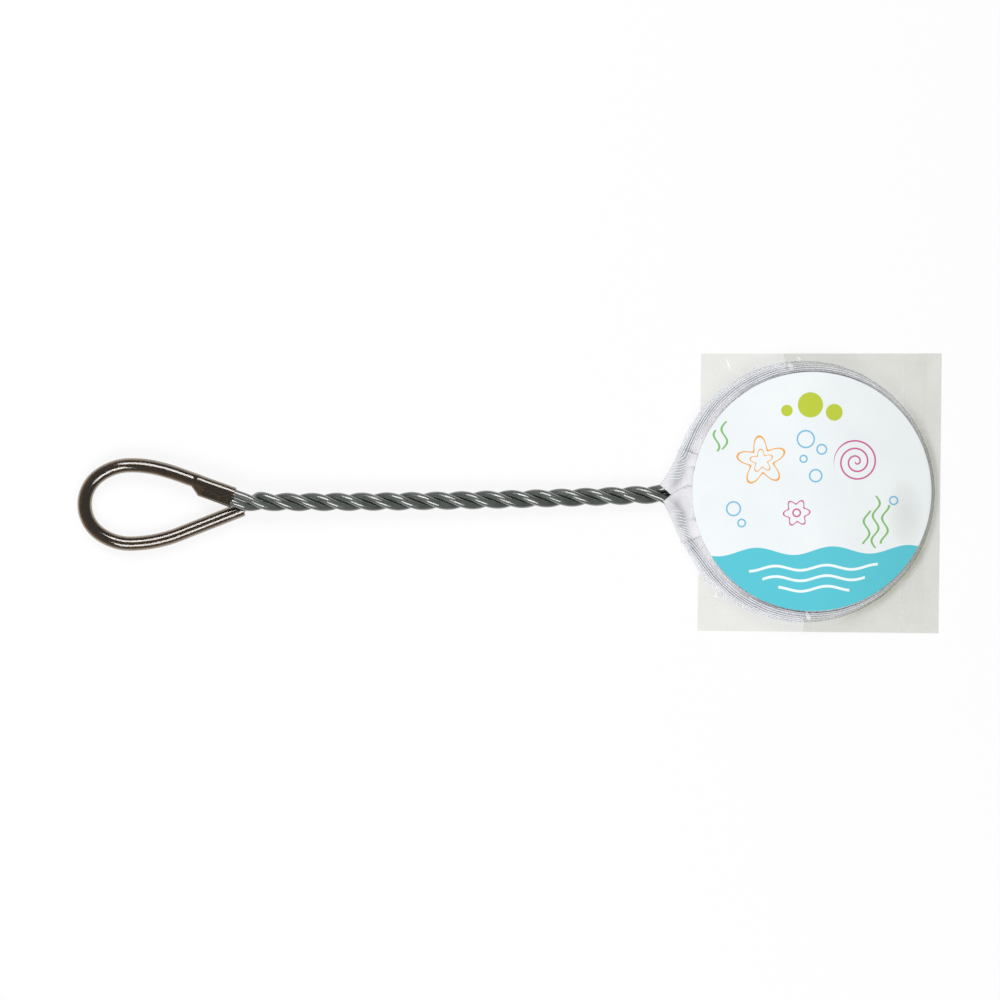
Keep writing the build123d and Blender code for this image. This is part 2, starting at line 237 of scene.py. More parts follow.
def bumps(tree, height, strength, depth=0.0001, invert=False):
    """Small bumps in a surface, as a direction for the shader."""
    sizes = {"Height": height, "Strength": strength, "Distance": depth}
    return node(tree, "ShaderNodeBump", sizes, invert=invert).outputs[0]


print("colour and bump helpers ready")

# %% Wire coat and steel
SOFT, CRISP = (0.3, 0.7), (0.35, 0.65)  # the part of the mask that a finish stretches
wire_coat, tree, shader = new_material("green_grey_pvc")
cloud = uneven(tree, 240, 2600)
streak = stretch(tree, cloud["Mask"], *CRISP, 0, 1)
fill(tree, shader, {
    "Base Color": blend_colour(tree, streak, tint(60, 66, 61), tint(80, 86, 81)),
    "Roughness": stretch(tree, cloud["Mask"], *SOFT, 0.2, 0.32),
    "Normal": bumps(tree, cloud["Height"], 0.06),
    "Specular IOR Level": 1.0,
    "Coat Weight": 1.0,
    "Coat Roughness": 0.2,
    "Coat IOR": 1.7,
})

bare_steel, tree, shader = new_material("steel")
cloud = uneven(tree, 500, 5000)
fill(tree, shader, {
    "Base Color": blend_colour(tree, cloud["Mask"], tint(150, 150, 148), tint(205, 205, 202)),
    "Roughness": 0.35,
    "Metallic": 1.0,
})


def finish_node(name, finish):
    """Give a solid of the frame its better finish."""
    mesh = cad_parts[name].data
    for index in range(len(mesh.materials)):
        mesh.materials[index] = finish
    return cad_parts[name]


finish_node("wire_coating", wire_coat)
finish_node("wire_core", bare_steel)
print("wire and steel finished")

# %% Sleeve
smoke_tube, tree, shader = new_material("smoke_pvc")
cloud = uneven(tree, 150, 1800)
streak = stretch(tree, cloud["Mask"], *SOFT, 0, 1)
fill(tree, shader, {
    "Base Color": blend_colour(tree, streak, tint(124, 105, 80), tint(146, 125, 98)),
    "Roughness": stretch(tree, cloud["Mask"], *SOFT, 0.05, 0.1),
    "Normal": bumps(tree, cloud["Height"], 0.025),
    "Transmission Weight": 0.95,
    "IOR": 1.5,
    "Coat Weight": 1.0,
    "Coat Roughness": 0.06,
    "Coat IOR": 1.6,
})
finish_node("grip_sleeve", smoke_tube)
print("sleeve finished")

# %% [markdown]
# ## Netting
# The net is a fine white mesh. A picture of threads on a smooth skin would look right only from afar, so the
# pouch's yarns and the hem's ribs are real thin tubes. Each is first described as a line on the cloth. A
# Geometry Nodes tree then turns every line into a yarn of its own thickness.


# %% Yarn tree
def yarn_tree():
    """Lines in, yarn tubes out. A point attribute named thickness is the yarn's radius."""
    made, given = new_group(
        "netting_yarns",
        "GeometryNodeTree",
        [("Geometry", "Geometry"), ("Yarn Sides", "Int"), ("Yarn Finish", "Material")],
        [("Geometry", "Geometry")],
    )
    lines = node(made, "GeometryNodeMeshToCurve", {"Mesh": given["Geometry"]})
    radius = node(made, "GeometryNodeInputNamedAttribute", {"Name": "thickness"}, data_type="FLOAT")
    ring = node(made, "GeometryNodeCurvePrimitiveCircle", {"Resolution": given["Yarn Sides"], "Radius": 1.0})
    pipe = {"Curve": lines.outputs[0], "Profile Curve": ring.outputs[0], "Fill Caps": True}
    tubes = node(made, "GeometryNodeCurveToMesh", {**pipe, "Scale": radius.outputs[0]})
    smooth = node(made, "GeometryNodeSetShadeSmooth", {0: tubes.outputs[0]})
    real = node(made, "GeometryNodeRealizeInstances", {0: smooth.outputs[0]})
    dye = {"Geometry": real.outputs[0], "Material": given["Yarn Finish"]}
    dyed = node(made, "GeometryNodeSetMaterial", dye)
    node(made, "NodeGroupOutput", {"Geometry": dyed.outputs[0]})
    return made


yarns = yarn_tree()
print("yarn tree with", len(yarns.nodes), "nodes")


# %% Pieces from lines and grids
def grown(piece, group, values):
    """Run a node tree with its inputs on a piece, and keep the result as a plain mesh."""
    modifier = piece.modifiers.new(group.name, "NODES")
    modifier.node_group = group
    for item in group.interface.items_tree:
        if item.item_type == "SOCKET" and item.in_out == "INPUT" and item.name in values:
            modifier[item.identifier] = values[item.name]
    depsgraph = bpy.context.evaluated_depsgraph_get()
    result = bpy.data.meshes.new_from_object(piece.evaluated_get(depsgraph))
    piece.modifiers.clear()
    piece.data = result
    return piece


def metres(points):
    """Points in millimetres round the hoop, as places in the scene."""
    return [((x + hoop_x) * MM, y * MM, z * MM) for x, y, z in points]


def line_piece(name, lines):
    """An object of loose lines, each a pair of its points round the hoop and its yarn radius."""
    points, edges, radii = [], [], []
    for line, radius in lines:
        first = len(points)
        points += metres(line)
        edges += [(first + i, first + i + 1) for i in range(len(line) - 1)]
        radii += [radius * MM] * len(line)
    mesh = bpy.data.meshes.new(name)
    mesh.from_pydata(points, edges, [])
    mesh.attributes.new("thickness", "FLOAT", "POINT").data.foreach_set("value", radii)
    return put(name, mesh)


def grid_piece(name, grids, finish, **values):
    """An object of smooth sheets, each a grid of points round the hoop with named values at the points."""
    points, faces = [], []
    for grid in grids:
        rows, wide = grid.shape[:2]
        corner = len(points) + np.arange(rows * wide).reshape(rows, wide)
        points += metres(grid.reshape(-1, 3))
        quads = (corner[:-1, :-1], corner[1:, :-1], corner[1:, 1:], corner[:-1, 1:])
        faces += np.stack(quads, -1).reshape(-1, 4).tolist()
    mesh = bpy.data.meshes.new(name)
    mesh.from_pydata(points, [], faces)
    for key, parts in values.items():
        kind, slot = ("FLOAT_VECTOR", "vector") if parts[0].ndim == 3 else ("FLOAT", "value")
        level = np.concatenate([part.ravel() for part in parts])
        mesh.attributes.new(key, kind, "POINT").data.foreach_set(slot, level)
    mesh.polygons.foreach_set("use_smooth", [True] * len(faces))
    mesh.materials.append(finish)
    return put(name, mesh)


print("helpers for pieces ready")

# %% Netting finish
NET_PITCH = 0.55
SHADE_NOISE, GAP_SHARE, WEAVE_BUMP = 0.12, 0.1, 0.08

white_mesh, tree, shader = new_material("white_mesh")
cloud = uneven(tree, 180, 2400)
shade = stretch(tree, cloud["Mask"], *CRISP, 0, 1)
fill(tree, shader, {
    "Base Color": blend_colour(tree, shade, tint(228, 231, 236), tint(243, 245, 248)),
    "Roughness": 0.55,
    "Sheen Weight": 0.15,
})

strip_mesh, tree, shader = new_material("strip_mesh")
cloud = uneven(tree, 160, 2400)
# The shade at the points holds the wire showing through, a painted shade over the wire and the card's painted
# shadow on the tail.
dark = node(tree, "ShaderNodeAttribute", attribute_name="shade").outputs["Fac"]
mottle = stretch(tree, cloud["Mask"], *CRISP, -SHADE_NOISE, SHADE_NOISE)
dark = calc(tree, "ADD", dark, mottle, clamp=True)
# its dark end is the colour of the wire through the net and of the painted shade
cloth = blend_colour(tree, dark, tint(236, 234, 237), tint(142, 147, 155))
flat = node(tree, "ShaderNodeAttribute", attribute_name="flat_place")
ways = node(tree, "ShaderNodeSeparateXYZ", {0: flat.outputs["Vector"]}).outputs
gaps = [
    calc(tree, "ABSOLUTE", calc(tree, "SINE", calc(tree, "MULTIPLY", way, math.pi / NET_PITCH)))
    for way in (ways[0], ways[1])
]
gap = calc(tree, "MULTIPLY", gaps[0], gaps[1])
fill(tree, shader, {
    "Base Color": blend_colour(tree, calc(tree, "MULTIPLY", gap, GAP_SHARE), cloth, tint(140, 144, 152)),
    "Roughness": 0.6,
    "Sheen Weight": 0.15,
    "Normal": bumps(tree, gap, WEAVE_BUMP, invert=True),
})
print("netting finishes ready, weave", NET_PITCH, "mm")

# %% [markdown]
# ## Hem
# The netting is folded round the hoop wire and sewn on the inside. Its section is a drop: a sewn tail that
# rises to the card, then the round over the wire. Folded double, the fine net is too close to see through,
# so the strip is a sheet with its weave in the finish, darker over the wire where the wire shows through
# faintly. Its finish also holds painted light: a painted shade over the wire that is deepest at the neck,
# and a painted shadow of the card on the tail at the top and bottom. The ribs that the folding draws
# up are real yarns on the round part, and each drifts a little, because sewn netting is never quite even.


# %% Hem section
upper_side = [
    (-5.3, 2.45), (-4.4, 2.25), (-3.5, 2.0), (-2.8, 1.82), (-2.3, 1.74), (-1.9, 1.78), (-1.3, 1.92),
    (-0.5, 2.06), (0.4, 2.03), (1.15, 1.72), (1.85, 0.88), (2.08, 0.0),
]
under_side = [
    (1.85, -0.88), (1.15, -1.72), (0.2, -2.05), (-0.8, -1.88), (-1.8, -1.25), (-2.8, -0.2), (-3.9, 1.0),
    (-5.3, 2.05),
]
section = np.array(upper_side + under_side)


def run_along(points):
    """The length from a line's first point to each of its points."""
    steps = np.linalg.norm(np.diff(points, axis=0), axis=1)
    return np.concatenate([[0], np.cumsum(steps)])


reach = run_along(section)
HEM_STRIP = reach[-1]
HEM_STEPS, HEM_ROWS, HEM_SWELL = 300, 48, 0.04
NECK = math.radians(15)
# over the wire: the wire showing through, plus a painted shade that is deepest at the neck
WIRE_MIDDLE, WIRE_SPREAD, WIRE_SHADE, NECK_SHADE_TURN = -0.5, 1.6, 0.775, 0.225
# on the tail: a painted shadow of the card, most at the top and bottom
TAIL_FROM, TAIL_FADE, TAIL_SHADOW_UPPER, TAIL_SHADOW_LOWER = 1.5, 1.2, 0.5, 0.85


def hem_point(angle, across, fit):
    """A point of the hem's cloth at an angle from the neck and a distance across the strip."""
    swell = fit + HEM_SWELL * noise.noise(Vector((angle * 9, across / 4, 3.3)))
    radius = HOOP_RADIUS + np.interp(across, reach, section[:, 0]) * swell
    up = np.interp(across, reach, section[:, 1]) * swell
    return (-radius * math.cos(angle), radius * math.sin(angle), HOOP_HEIGHT + up)


def hem_strip(fit):
    """The strip as a grid, with its shade and its flat places: the wire showing through with a painted shade
    over it, and a painted shadow of the card on the tail.
    """
    angles = np.linspace(NECK, 2 * math.pi - NECK, HEM_STEPS)
    places = np.linspace(0, HEM_STRIP, HEM_ROWS)
    grid = np.array([[hem_point(angle, place, fit) for place in places] for angle in angles])
    side = np.interp(places, reach, section[:, 0])
    over_wire = np.exp(-(((side - WIRE_MIDDLE) / WIRE_SPREAD) ** 2))
    on_tail = np.clip((-side - TAIL_FROM) / TAIL_FADE, 0, 1)
    turn = np.sin(angles)[:, None]
    # the wire showing through, with a painted shade deepest at the neck and lighter at the far side
    shade = over_wire * (WIRE_SHADE + NECK_SHADE_TURN * np.cos(angles)[:, None])
    # painted shadow of the card on the tail, most at the top and bottom
    shade = shade + on_tail * np.where(turn > 0, TAIL_SHADOW_UPPER * turn, TAIL_SHADOW_LOWER * turn**2)
    along, across = np.meshgrid(angles * HOOP_RADIUS, places, indexing="ij")
    return grid, shade, np.stack([along, across, 0 * along], -1)


print("hem strip", round(HEM_STRIP, 1), "mm wide")

# %% Hem ribs
RIB_FROM, RIB_TO = reach[4], reach[-4]  # the round part, from the sewn tail to the under side
RIB_PITCH, RIB_RADIUS, RIB_STEPS = 0.8, 0.21, 260
RIB_WANDER, WANDER_LENGTH = 0.12, 16
HOOP_LEAN, NECK_LEAN = 0.07, 1.15  # the ribs' slant along the hoop, and their turn at the neck


def drift(places, seed, size):
    """Smooth unevenness from -1 to 1 along a line, the same in every run."""
    return np.array([noise.noise(Vector((place / size, seed * 7.31, 0.5))) for place in places])


def rib_lines(fit):
    """The ribs: from the neck they cross the strip, then they turn and run along the hoop."""
    lines = []
    for first, way, bend in ((NECK, 1, 5.0), (2 * math.pi - NECK, -1, 10.0)):
        away = np.linspace(0, (math.pi - NECK) * HOOP_RADIUS, RIB_STEPS)
        lean = HOOP_LEAN - NECK_LEAN * np.exp(-((away / bend) ** 2))
        slide = np.concatenate([[0], np.cumsum(np.sin(lean[1:]) * np.diff(away))])
        angles = first + way * away / HOOP_RADIUS
        for index in range(-30, 50):
            wander = RIB_WANDER * drift(away, index + 5 * way, WANDER_LENGTH)
            places = HEM_STRIP / 2 + (index * RIB_PITCH + slide) / np.cos(lean) + wander
            inside = np.flatnonzero((places >= RIB_FROM) & (places <= RIB_TO))
            for run in np.split(inside, np.flatnonzero(np.diff(inside) > 1) + 1):
                if len(run) > 2:
                    lines.append(([hem_point(angles[i], places[i], fit) for i in run], RIB_RADIUS))
    return lines


rib_yarns = rib_lines(1.02)
print("hem with", len(rib_yarns), "ribs,", RIB_PITCH, "mm apart")

# %% [markdown]
# At the neck the two ends of the strip are opened out into flaps. They lie over the strip's ends and over the
# wire where it leaves the hoop, and leave a V between them for the tip of the handle. The flaps rest on bent
# wires, so their height is felt for with rays on the wire itself and then smoothed, as a light cloth would
# bridge the hollows. The hem's ribs start on the flaps, so near the neck they are lifted onto them.


# %% Height of the neck
FIELD_STEP, FELT_STEPS, RAY_START = 0.5, 14, 0.05
WIRE_CLEARANCE, HEM_OUTSIDE, NECK_OVERLAP, LEAST_HEIGHT = 0.35, 2.1, 0.02, 0.9
wire_surface = BVHTree.FromObject(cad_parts["wire_coating"], bpy.context.evaluated_depsgraph_get())
field_x = np.arange(-60, -34, FIELD_STEP)
field_y = np.arange(-21, 21.1, FIELD_STEP)


def neighbour_mean(field):
    """Each value of a grid becomes the mean of its four neighbours."""
    padded = np.pad(field, 1, mode="edge")
    return (padded[2:, 1:-1] + padded[:-2, 1:-1] + padded[1:-1, 2:] + padded[1:-1, :-2]) / 4


def felt_height(from_above):
    """Height of wires and hem over the neck, seen from one side, smoothed as cloth lies on them."""
    sign, hem_side = (1, upper_side) if from_above else (-1, under_side[::-1])
    level = np.full((len(field_x), len(field_y)), (HOOP_HEIGHT + sign * WIRE_CLEARANCE) * sign)
    for i, x in enumerate(field_x):
        for j, y in enumerate(field_y):
            start = Vector(((x + hoop_x) * MM, y * MM, sign * RAY_START))
            hit = wire_surface.ray_cast(start, Vector((0, 0, -sign)))[0]
            if hit:
                level[i, j] = max(level[i, j], sign * hit.z / MM)
            ring = math.hypot(x, y) - HOOP_RADIUS
            if abs(math.atan2(y, -x)) > NECK - NECK_OVERLAP and upper_side[0][0] < ring < HEM_OUTSIDE:
                hem = np.interp(ring, *zip(*hem_side))
                level[i, j] = max(level[i, j], sign * (HOOP_HEIGHT + hem) + RIB_RADIUS)
    felt = level.copy()
    for _ in range(FELT_STEPS):
        felt = np.maximum(neighbour_mean(felt), level)
    return felt * sign


def height_at(field, x, y):
    """Read a height field between its samples."""
    u = np.clip((x - field_x[0]) / FIELD_STEP, 0, len(field_x) - 1.001)
    v = np.clip((y - field_y[0]) / FIELD_STEP, 0, len(field_y) - 1.001)
    i, j = int(u), int(v)
    fu, fv = u - i, v - j
    near = field[i, j] * (1 - fv) + field[i, j + 1] * fv
    return near * (1 - fu) + (field[i + 1, j] * (1 - fv) + field[i + 1, j + 1] * fv) * fu


above, below = felt_height(True), np.maximum(felt_height(False), LEAST_HEIGHT)
print("the neck is", round(above.max() - below.min(), 1), "mm high")

# %% Flap grids
PATCH_ROWS, PATCH_WIDE, FLAP_SETTLE = 30, 26, 0.9
# Each flap has a darker band: partly the wire showing through, partly painted shade between the ribs.
FLAP_PALE, FLAP_DARK, DARK_MIDDLE, DARK_SPREAD = 0.12, 0.65, 0.36, 0.2
UPPER_END, LOWER_END, FLAP_INSIDE = 20, -22, 42.6  # degrees from the neck, and millimetres


def spread(line, count):
    """A line with a given count of points at even distances."""
    line = np.array(line, dtype=float)
    run = run_along(line)
    stops = np.linspace(0, run[-1], count)
    return np.stack([np.interp(stops, run, line[:, axis]) for axis in (0, 1)], -1)


def patch(outer, inner, start, field, lift):
    """A flap as a grid: four edges, the last one straight, and the cloth evenly between them."""
    outer, inner, start = spread(outer, PATCH_ROWS), spread(inner, PATCH_ROWS), spread(start, PATCH_WIDE)
    end = spread([outer[-1], inner[-1]], PATCH_WIDE)
    k, s = np.linspace(0, 1, PATCH_ROWS)[:, None, None], np.linspace(0, 1, PATCH_WIDE)[None, :, None]
    flat = outer[:, None] * (1 - s) + inner[:, None] * s + start[None] * (1 - k) + end[None] * k
    flat -= (outer[0] * (1 - s) + inner[0] * s) * (1 - k) + (outer[-1] * (1 - s) + inner[-1] * s) * k
    k, s = k[..., 0], s[..., 0]
    height = np.array([[height_at(field, x, y) for x, y in row] for row in flat])
    height = height + lift * (1 - FLAP_SETTLE * k)
    # painted shade along the wire's path, partly the wire showing through, at full strength from halfway
    # along
    dark = FLAP_DARK * np.exp(-(((s - DARK_MIDDLE) / DARK_SPREAD) ** 2))
    shade = FLAP_PALE + dark * np.clip(2 * k, 0, 1)
    return np.dstack([flat, height]), shade, np.dstack([flat, 0 * height])


def arc_points(radius, first, last, count):
    """Points on a circle round the hoop's centre, by their angle from the neck."""
    turns = np.radians(np.linspace(first, last, count))
    return [(-radius * math.cos(a), radius * math.sin(a)) for a in turns]


UPPER_TIP, LOWER_TIP, VEE, FOLD_TOP = (-54.6, 3.6), (-53.6, -2.9), (-50.4, -0.2), (-44.2, 2.9)
upper_outer = [
    UPPER_TIP, (-53.4, 5.3), (-51.9, 7.6), (-50.6, 9.8), (-49.3, 12.2),
    *arc_points(50.3, 16, UPPER_END, 3),
]
lower_outer = [
    LOWER_TIP, (-52.2, -6.0), (-50.9, -8.9), (-50.0, -11.0), (-49.1, -13.4),
    *arc_points(50.6, -18, LOWER_END, 3),
]
upper_inner = arc_points(FLAP_INSIDE, -2, UPPER_END, 8)
lower_inner = arc_points(FLAP_INSIDE, 3.4, LOWER_END, 8)
upper_start, lower_start = [UPPER_TIP, VEE, upper_inner[0]], [LOWER_TIP, VEE, FOLD_TOP, lower_inner[0]]
strips = [
    hem_strip(0.97),
    patch(upper_outer, upper_inner, upper_start, above, 0.5),
    patch(lower_outer, lower_inner, lower_start, above, 0.8),
    patch(upper_outer, upper_inner, upper_start, below, -0.2),
    patch(lower_outer, lower_inner, lower_start, below, -0.45),
]
print("neck flaps of", PATCH_ROWS, "by", PATCH_WIDE, "points")

# %% Ribs on the flaps
EDGE_STEP, EDGE_RADIUS = 0.6, 0.22
RIB_LIFT, RIB_UPPER, LIFT_FADE = 0.2, 0.6, math.radians(3)
NET_YARN, RIB_COLUMNS, RIB_SLANT = 0.17, 14, 5.5


def edge_line(corners, field, lift):
    """The cut edge of a flap, a little fuller than its yarns."""
    edge = []
    for (x1, y1), (x2, y2) in zip(corners, corners[1:]):
        for k in np.linspace(0, 1, max(2, round(math.dist((x1, y1), (x2, y2)) / EDGE_STEP))):
            x, y = x1 + (x2 - x1) * k, y1 + (y2 - y1) * k
            edge.append((x, y, height_at(field, x, y) + lift))
    return edge, EDGE_RADIUS


def over_flaps(line, field):
    """A rib of the hem, with the part near the neck lifted onto the flaps."""
    lifted = []
    for x, y, z in line:
        near = np.clip((math.radians(-LOWER_END) - abs(math.atan2(y, -x))) / LIFT_FADE, 0, 1)
        on_top = near and z > HOOP_HEIGHT + RIB_UPPER
        rise = max(0.0, height_at(field, x, y) + RIB_LIFT - z) if on_top else 0.0
        lifted.append((x, y, z + near * rise))
    return lifted


def slanted(flap, row):
    """A line across a flap from its outer edge, which runs a few rows further along on its way."""
    line = []
    for step in range(RIB_COLUMNS):
        place = row + RIB_SLANT * step / (RIB_COLUMNS - 1)
        low = int(place)
        line.append(flap[low, step + 1] * (low + 1 - place) + flap[low + 1, step + 1] * (place - low))
    return line


rib_yarns = [(over_flaps(line, above), radius) for line, radius in rib_yarns]
for flap, rows in ((strips[1][0], range(7, 18, 2)), (strips[2][0], range(7, 16, 2))):
    rib_yarns += [(slanted(flap, row), NET_YARN) for row in rows]
rib_yarns.append(edge_line([LOWER_TIP, VEE, FOLD_TOP], above, 0.85))
rib_yarns.append(edge_line([UPPER_TIP, VEE], above, 0.55))
print("with the flaps", len(rib_yarns), "ribs and edges")

# %% Hem pieces
for index in (1, 4):  # turned so that their faces look outwards
    strips[index] = [part[:, ::-1] for part in strips[index]]
grids, shades, flats = zip(*strips)
hem_sheet = grid_piece("hem_netting", grids, strip_mesh, shade=shades, flat_place=flats)
hem_ribs = grown(line_piece("hem_ribs", rib_yarns), yarns, {"Yarn Sides": 5, "Yarn Finish": white_mesh})
for layer, wide in ((hem_sheet, HEM_STRIP), (hem_ribs, RIB_TO - RIB_FROM)):
    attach(layer, "net")
    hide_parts("hem_casing")
    print(layer.name, len(layer.data.polygons), "faces")

# %% [markdown]
# ## Pouch
# The pouch hangs deep in use, but in the packing it is pressed flat under the hoop in folds that run along
# the handle. A fold that has fallen over is a curve that doubles back on itself, so the section is drawn as a
# leaning wave. Towards the rim the folds die out and the cloth climbs to the hem.


# %% Pouch cloth
RIM = 42.0
RIM_CALM, SEAM_CALM, RIM_CLIMB, RIM_HEIGHT = 9, 3, 5.5, 1.75
FOLD_PITCH, FOLD_LEAN, FOLD_RISE, FOLD_SWAY = 13.0, 3.0, 0.75, 2.2
POUCH_FLOOR = 0.95
POUCH_PITCH, POUCH_STEP, FOLD_STEP = 1.0, 1.5, 1.05


def unit(value):
    """Keep a value between 0 and 1."""
    return min(1.0, max(0.0, value))


def pouch_point(side, x, across):
    """A point of one half of the pouch: x along the handle, across in fold phase from the seam."""
    sway = FOLD_SWAY * noise.noise(Vector((x / 26, across / 11, 4.1 + side)))
    wave = 2 * math.pi * (across + sway) / FOLD_PITCH
    plain = math.hypot(x, across)
    calm = unit((RIM - plain) / RIM_CALM) * min(1.0, across / SEAM_CALM)
    y = across + FOLD_LEAN * calm * math.sin(wave)
    z = POUCH_FLOOR + FOLD_RISE * calm * (1 - math.cos(wave - 0.5))
    climb = unit((plain - RIM + RIM_CLIMB) / RIM_CLIMB)
    z += (HOOP_HEIGHT + RIM_HEIGHT - POUCH_FLOOR) * climb * climb
    return (x, side * y, z)


def pouch_lines(side):
    """Yarns along and across one half, cut off at the rim."""
    fine = np.linspace(0.35, RIM, 900)
    length = run_along(np.array([pouch_point(side, 0, s) for s in fine]))
    lines = []
    for place in np.arange(0, length[-1], POUCH_PITCH):
        across = float(np.interp(place, length, fine))
        half = math.sqrt(max(0.0, RIM**2 - across**2))
        if half > 1:
            xs = np.linspace(-half, half, max(3, round(2 * half / POUCH_STEP)))
            lines.append(([pouch_point(side, x, across) for x in xs], NET_YARN))
    for x in np.arange(-RIM + 0.5, RIM, POUCH_PITCH):
        top = math.sqrt(RIM**2 - x**2)
        deep = float(np.interp(top, fine, length))
        stops = np.interp(np.linspace(0, deep, max(3, round(deep / FOLD_STEP))), length, fine)
        lines.append(([pouch_point(side, x, min(s, top)) for s in stops], NET_YARN))
    return lines, length[-1]


for side, name in ((1, "pouch_panel_upper"), (-1, "pouch_panel_lower")):
    lines, depth = pouch_lines(side)
    panel = grown(line_piece(name + "_netting", lines), yarns, {"Yarn Sides": 4, "Yarn Finish": white_mesh})
    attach(panel, "net")
    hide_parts(name)
    print(name, "cloth", round(depth, 1), "mm deep when flat,", len(panel.data.polygons), "faces")

# %% [markdown]
# ## Stitches and seam
# A line of machine stitches closes the hem, and an overcast seam joins the two halves of the pouch. One
# stitch is a short arched thread. A tree sets that stitch along a line at an even pitch, and turns it with
# the line.


# %% Thread tree
def stitch_tree():
    """Set a stitch along a line. The inputs are the stitch's sizes, its pitch and its slant."""
    sizes = ("Stitch Length", "Stitch Rise", "Thread Radius", "Pitch", "Slant")
    made, given = new_group(
        "stitch_row",
        "GeometryNodeTree",
        [("Geometry", "Geometry"), *[(size, "Float") for size in sizes], ("Thread Finish", "Material")],
        [("Geometry", "Geometry")],
    )
    line = node(made, "GeometryNodeMeshToCurve", {"Mesh": given["Geometry"]})
    spacing = {"Curve": line.outputs[0], "Length": given["Pitch"]}
    spots = node(made, "GeometryNodeCurveToPoints", spacing, mode="LENGTH").outputs
    bow = node(made, "GeometryNodeCurvePrimitiveBezierSegment", {"Resolution": 5})
    half = calc(made, "MULTIPLY", given["Stitch Length"], 0.5)
    back = calc(made, "MULTIPLY", half, -1.0)
    up = calc(made, "MULTIPLY", given["Stitch Rise"], -1.0)
    ends = (("Start", back, 0.0), ("Start Handle", back, up), ("End Handle", half, up), ("End", half, 0.0))
    for socket, along, rise in ends:
        place = node(made, "ShaderNodeCombineXYZ", {"Y": rise, "Z": along})
        fill(made, bow, {socket: place.outputs[0]})
    ring = node(made, "GeometryNodeCurvePrimitiveCircle", {"Resolution": 5, "Radius": given["Thread Radius"]})
    pipe = {"Curve": bow.outputs[0], "Profile Curve": ring.outputs[0], "Fill Caps": True}
    thread = node(made, "GeometryNodeCurveToMesh", pipe)
    slant = node(made, "ShaderNodeCombineXYZ", {"Y": given["Slant"]})
    turn = {"Rotation": spots["Rotation"], "Rotate By": slant.outputs[0]}
    turned = node(made, "FunctionNodeRotateRotation", turn, rotation_space="LOCAL")
    copies = {"Points": spots[0], "Instance": thread.outputs[0], "Rotation": turned.outputs[0]}
    row = node(made, "GeometryNodeInstanceOnPoints", copies)
    real = node(made, "GeometryNodeRealizeInstances", {0: row.outputs[0]})
    smooth = node(made, "GeometryNodeSetShadeSmooth", {0: real.outputs[0]})
    dye = {"Geometry": smooth.outputs[0], "Material": given["Thread Finish"]}
    dyed = node(made, "GeometryNodeSetMaterial", dye)
    node(made, "NodeGroupOutput", {"Geometry": dyed.outputs[0]})
    return made


stitch_row = stitch_tree()
print("stitch tree with", len(stitch_row.nodes), "nodes")

# %% Threads
white_thread, tree, shader = new_material("white_thread")
cloud = uneven(tree, 900, 6000)
fill(tree, shader, {
    "Base Color": blend_colour(tree, cloud["Mask"], tint(222, 222, 226), tint(246, 246, 247)),
    "Roughness": 0.6,
    "Sheen Weight": 0.2,
})


def sewn(name, line, length, rise, thread, pitch, slant):
    """A row of stitches along a line, with its sizes in millimetres."""
    sizes = {"Stitch Length": length, "Stitch Rise": rise, "Thread Radius": thread, "Pitch": pitch}
    values = {key: size * MM for key, size in sizes.items()}
    values.update({"Slant": slant, "Thread Finish": white_thread})
    return grown(line_piece(name, [(line, thread)]), stitch_row, values)


STITCH_RADIUS, STITCH_HEIGHT = 44.2, HOOP_HEIGHT + 1.95
STITCH_FIRST, STITCH_LAST = math.radians(21), math.radians(337)
SEAM_HALF = 40.8
circle = np.linspace(STITCH_FIRST, STITCH_LAST, 240)
stitch_line = [(-STITCH_RADIUS * math.cos(a), STITCH_RADIUS * math.sin(a), STITCH_HEIGHT) for a in circle]
hem_thread = sewn("hem_thread", stitch_line, length=2.5, rise=0.3, thread=0.17, pitch=3.1, slant=0.0)
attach(hem_thread, "net")
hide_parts("hem_stitching")

seam_line = [(x, 0.0, POUCH_FLOOR) for x in np.linspace(-SEAM_HALF, SEAM_HALF, 120)]
seam_thread = sewn("pouch_seam_thread", seam_line, length=2.2, rise=0.4, thread=0.16, pitch=1.1, slant=0.9)
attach(seam_thread, "net")
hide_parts("pouch_seam")
for thread in (hem_thread, seam_thread):
    print(thread.name, len(thread.data.polygons), "faces")

# %% [markdown]
# ## Insert card
# A round white card with a cheerful sea print. The print is drawn by the shader from a few simple marks. Each
# is a small group that measures the distance to a ring, a wave, a star or a spiral, so its lines stay sharp
# at any size. One more mark, a long soft spot, draws the painted glints of the film.


# %% Mark group
INK_SHARP, GLINT_SHARP = 8.0, 2.0


def mark_group(name, sizes, draw, sharp=INK_SHARP):
    """A shader group that takes a flat place and sizes, and gives a mask with a soft edge."""
    made, given = new_group(
        name,
        "ShaderNodeTree",
        [("Place", "Vector"), *[(size, "Float") for size in ("X", "Y", "Turn", *sizes, "Line")]],
        [("Mask", "Float")],
    )
    spot = node(made, "ShaderNodeSeparateXYZ", {0: given["Place"]})
    dx = calc(made, "SUBTRACT", spot.outputs[0], given["X"])
    dy = calc(made, "SUBTRACT", spot.outputs[1], given["Y"])
    cosine, sine = calc(made, "COSINE", given["Turn"]), calc(made, "SINE", given["Turn"])
    u = calc(made, "ADD", calc(made, "MULTIPLY", dx, cosine), calc(made, "MULTIPLY", dy, sine))
    v = calc(made, "SUBTRACT", calc(made, "MULTIPLY", dy, cosine), calc(made, "MULTIPLY", dx, sine))
    ink = calc(made, "SUBTRACT", given["Line"], draw(made, given, u, v))
    node(made, "NodeGroupOutput", {"Mask": calc(made, "MULTIPLY_ADD", ink, sharp, 0.5, clamp=True)})
    return made


